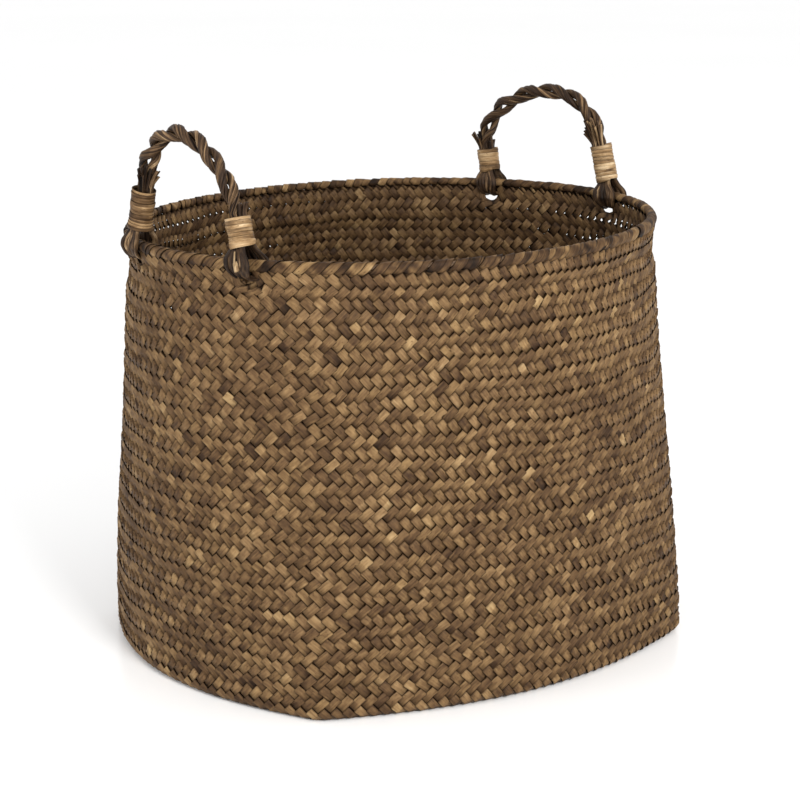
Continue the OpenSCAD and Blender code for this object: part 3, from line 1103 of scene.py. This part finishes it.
def build_binding(place, end):
    """A flat strip wound round and round a leg, its turns not quite even."""
    leg = place.legs[end]
    tone, flare, pitch = BINDINGS[place.hand, end]
    per_turn = 40
    turns = round((leg.high - leg.low) / pitch)
    n = turns * per_turn + 1
    t = np.arange(n) / per_turn
    half_w = 0.60 * pitch * (1 + smooth_random(n, 0.10, 34))
    pitch = (leg.high - leg.low - 1.2 * pitch) / (turns - 1)
    free = np.clip(np.minimum(t, turns - t) - 0.3, 0, 1)
    wander = smooth_random(n, 0.22, 50) + smooth_random(n, 0.10, 12)
    height = (leg.low + half_w + pitch * np.clip(t - 0.5, 0, turns - 1.0)
              + wander * free)
    low = np.clip(1 - (height - leg.low) / 9, 0, 1)
    radius = (BIND_R - 0.45 + flare * low * low + smooth_random(n, 0.16, 34)
              + smooth_random(n, 0.06, 6))
    turn = 2 * np.pi * t * -leg.side + (0.7 if end == "front" else 2.4)
    # slightly oval and flattened against the stems within
    mid = place.put(leg.point(height, radius * 1.02 * np.cos(turn),
                              radius * 0.97 * np.sin(turn)))
    centre = place.put(leg.point(height))
    axis = place.put(leg.point(height + 1)) - centre
    up = unit(mid - centre)
    skew = 0.14 + smooth_random(n, 0.08, 20)
    side = unit(axis + skew[:, None] * up)
    up = unit(np.cross(side, np.gradient(mid, axis=0)))
    up = up * np.sign((up * (mid - centre)).sum(-1, keepdims=True))
    half_w = half_w * np.clip(np.minimum(t, turns - t) * 4 + 0.5, 0, 1)
    run = np.cumsum(np.full(n, 2 * np.pi * BIND_R / per_turn))
    tones = tone + smooth_random(n, 0.11, 24) + smooth_random(n, 0.07, 7)
    # the binding's darkening is random mottle along the strip, not shade
    tint = tint_rows(tones, 0.2, np.clip(smooth_random(n, 0.16, 24), 0, 0.6))
    skin = Skin()
    ribbon(skin, mid, side, up, half_w, BIND_HALF_T, run,
           RNG.uniform(0, 900), tint)
    place.piece(skin, f"{end}_binding", "strip", BIND, "binding_strip")


# Sprays of trimmed rope ends above each binding. Each has its middle
# direction round the leg, in degrees from the arch's inside towards +v,
# half its spread, its length in mm, its number of stems and its tone.
TUFTS = {("left", "front"): ((175, 25, 9, 7, 0.42),),
         ("left", "rear"): ((-22, 50, 18, 26, 0.18),),
         ("right", "front"): ((58, 85, 21, 34, 0.44),),
         ("right", "rear"): ((165, 48, 14, 16, 0.28), (10, 35, 9, 9, 0.2))}


def build_tuft(place, end):
    """Trimmed stem ends that come out of the top of a binding."""
    leg = place.legs[end]
    hidden = 7                   # mm of each stem inside the binding
    skin = Skin()
    for middle, spread, length, count, tone in TUFTS[place.hand, end]:
        for k in range(count):
            way = math.radians(middle + spread * (2 * (k + 0.5) / count - 1)
                               + RNG.normal(0, 5))
            splay = math.radians(RNG.uniform(-4, 28))
            reach = length * RNG.uniform(0.55, 1.1)
            bow = np.linspace(0, 1, 12)
            free = np.clip((bow - 0.3) / 0.7, 0, 1)
            rise = (leg.high - hidden + hidden * np.clip(bow * 3, 0, 1)
                    + reach * math.cos(splay) * free)
            away = (5.6 + RNG.uniform(-1.8, 0.6)
                    + reach * math.sin(splay) * free ** 1.4)
            path = place.put(leg.point(rise, -away * math.cos(way),
                                       away * math.sin(way)))
            thick = RNG.uniform(1.0, 1.7) * (1 - 0.12 * bow)
            pale = 0.34 if RNG.random() < 0.25 else 0
            stem(skin, path, thick, tone + RNG.normal(0, 0.09) + pale,
                 0.4 + RNG.normal(0, 0.2), seed=RNG.uniform(0, 900),
                 flat=0.5, up_hint=place.u, sides=6, wander=0.6)
    place.piece(skin, f"{end}_tuft", "ends", ROPE, "trimmed_ends")


def build_handle(hand):
    """Two strands, and a loop, a binding and a tuft at each end."""
    place = Place(hand)
    build_strand(place, "a", math.pi / 2)
    build_strand(place, "b", -math.pi / 2)
    for end in ("front", "rear"):
        build_loop(place, end)
        build_binding(place, end)
        build_tuft(place, end)


# ---- floor, light and camera ----

def build_floor():
    """A plain pale floor with a faint soft reflection."""
    mesh = bpy.data.meshes.new("floor")
    size = 12
    mesh.from_pydata([(size * x, size * y, 0) for x, y in
                      ((-1, -1), (1, -1), (1, 1), (-1, 1))], [], [(0, 1, 2, 3)])
    g = Graph("studio_floor")
    mottle = g.noise(g.place((1, 1, 1)), 3)
    colour = g.ramp(mottle, [(0.3, (252, 252, 252)), (0.7, (254, 254, 254))])
    g.links.new(colour, g.shader.inputs["Base Color"])
    g.shader.inputs["Roughness"].default_value = 0.22
    g.shader.inputs["Specular IOR Level"].default_value = 0.3
    mesh.materials.append(g.material)
    floor = bpy.data.objects.new("floor", mesh)
    bpy.context.scene.collection.objects.link(floor)


WARM_WHITE = (1, 0.99, 0.975)


def area_light(name, place, target, size, power):
    """A soft rectangular lamp at place, pointed at target."""
    data = bpy.data.lights.new(name, "AREA")
    data.shape = "RECTANGLE"
    data.size, data.size_y = size
    data.energy = power
    data.color = WARM_WHITE
    lamp = bpy.data.objects.new(name, data)
    lamp.location = place
    way = Vector(target) - Vector(place)
    lamp.rotation_euler = way.to_track_quat("-Z", "Y").to_euler()
    bpy.context.scene.collection.objects.link(lamp)


VIEW_TURN = math.radians(-51.55)    # camera's place round the basket, from -Y
VIEW_RISE = math.radians(14.11)
VIEW_FAR = 1.6                      # metres from the target
VIEW_TARGET = Vector((0, 0, 0.16))
VIEW_SHIFT = (0.0055, 0.0173)
LENS, SENSOR = 97.64, 36            # millimetres


def view_axes():
    """Unit vectors from the basket to the camera, to its right and up."""
    back = Vector((math.sin(VIEW_TURN) * math.cos(VIEW_RISE),
                   -math.cos(VIEW_TURN) * math.cos(VIEW_RISE),
                   math.sin(VIEW_RISE)))
    right = Vector((0, 0, 1)).cross(back).normalized()
    return back, right, back.cross(right)


def build_camera():
    """The camera at the viewing angle of the object's picture."""
    back, right, up = view_axes()
    data = bpy.data.cameras.new("camera")
    data.lens = LENS
    data.sensor_width = SENSOR
    data.shift_x, data.shift_y = VIEW_SHIFT
    data.clip_end = 50
    camera = bpy.data.objects.new("camera", data)
    facing = Matrix((right, up, back)).transposed().to_4x4()
    camera.matrix_world = Matrix.Translation(
        VIEW_TARGET + back * VIEW_FAR) @ facing
    bpy.context.scene.collection.objects.link(camera)
    bpy.context.scene.camera = camera


def build_light():
    """White surroundings, a key lamp on the right and a weak side lamp."""
    back, right, _ = view_axes()
    world = bpy.data.worlds.new("studio")
    world.use_nodes = True
    sky = world.node_tree.nodes["Background"]
    sky.inputs["Color"].default_value = (1, 1, 1, 1)
    sky.inputs["Strength"].default_value = 1.0
    bpy.context.scene.world = world
    middle = Vector((0, 0, 0.15))
    level = Vector((back.x, back.y, 0)).normalized()
    for name, near, aside, high, size, power in (
            ("key", 1.9, 0.9, 1.2, (0.7, 0.5), 40),
            ("side", 0.9, -1.7, 0.7, (0.6, 0.6), 8)):
        place = middle + level * near + right * aside + Vector((0, 0, high))
        area_light(name, place, middle, size, power)
    bpy.context.scene.view_settings.view_transform = "Standard"


build_camera()
build_floor()
build_light()
build_strips()
build_hem()
for hand in ("left", "right"):
    build_handle(hand)
hoop = frame["nodes"]["rim_core"].data.materials
hoop.clear()
hoop.append(hoop_material())
